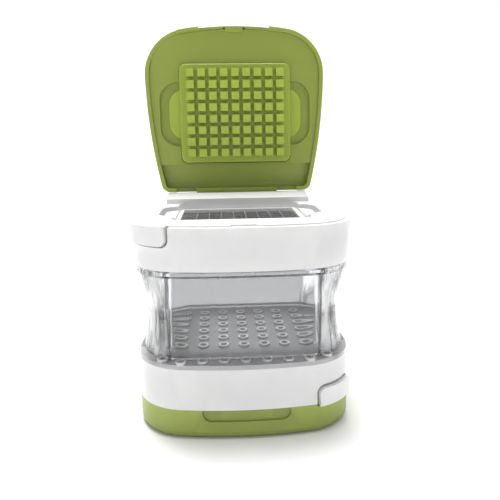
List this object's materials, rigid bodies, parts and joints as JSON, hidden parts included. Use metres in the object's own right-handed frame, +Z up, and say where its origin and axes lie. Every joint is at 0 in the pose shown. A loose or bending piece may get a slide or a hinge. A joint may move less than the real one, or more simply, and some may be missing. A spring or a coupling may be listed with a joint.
{
  "type": "vegetable dicer",
  "caption": "Two-sided hand press dicer: hinged pin lid over a blade grid, clear collecting box, and a hinged ribbed lid over parallel slicing blades below.",
  "frame": {"origin": "on the surface it stands on, under the centre of the collars' plan, at the underside of the closed lower lid", "axes": "+Z up, -Y towards the front where the finger scoops are, +Y towards the hinges, +X to the right seen from the front; the upper lid is stored open"},
  "size_m": [0.0806, 0.0914, 0.1552],
  "materials": {
    "green_plastic": "satin moulded lime green plastic",
    "white_plastic": "satin moulded white plastic",
    "clear_plastic": "clear moulded plastic",
    "blade_steel": "ground stainless steel strip",
    "pin_steel": "plain steel wire"
  },
  "bodies": {
    "body": {"container": "clear_plastic", "ring_plate": "clear_plastic", "upper_collar": "white_plastic", "lower_collar": "white_plastic", "upper_hinge_pin": "pin_steel", "lower_hinge_pin": "pin_steel"},
    "upper_tray": {"dicing_tray": "white_plastic", "dicing_blade_frame": "white_plastic", "lengthwise_blades": "blade_steel", "crosswise_blades": "blade_steel"},
    "upper_cover": {"upper_lid": "green_plastic", "upper_lid_panel": "green_plastic", "dicing_presser": "green_plastic"},
    "lower_tray": {"slicing_tray": "white_plastic", "slicing_blade_frame": "white_plastic", "slicing_blades": "blade_steel"},
    "lower_cover": {"lower_lid": "green_plastic", "lower_lid_panel": "green_plastic", "slicing_presser": "green_plastic"}
  },
  "joints": [
    {"name": "upper_tray_hinge", "type": "hinge", "parent": "body", "child": "upper_tray", "pos_m": [0, 0.038, 0.0788], "axis": [-1, 0, 0], "range_deg": [0, 80]},
    {"name": "upper_lid_hinge", "type": "hinge", "parent": "upper_tray", "child": "upper_cover", "pos_m": [0, 0.038, 0.0788], "axis": [1, 0, 0], "range_deg": [0, 93.5]},
    {"name": "lower_tray_hinge", "type": "hinge", "parent": "body", "child": "lower_tray", "pos_m": [0, 0.038, 0.0101], "axis": [1, 0, 0], "range_deg": [0, 80]},
    {"name": "lower_lid_hinge", "type": "hinge", "parent": "lower_tray", "child": "lower_cover", "pos_m": [0, 0.038, 0.0101], "axis": [1, 0, 0], "range_deg": [0, 93.5]}
  ]
}
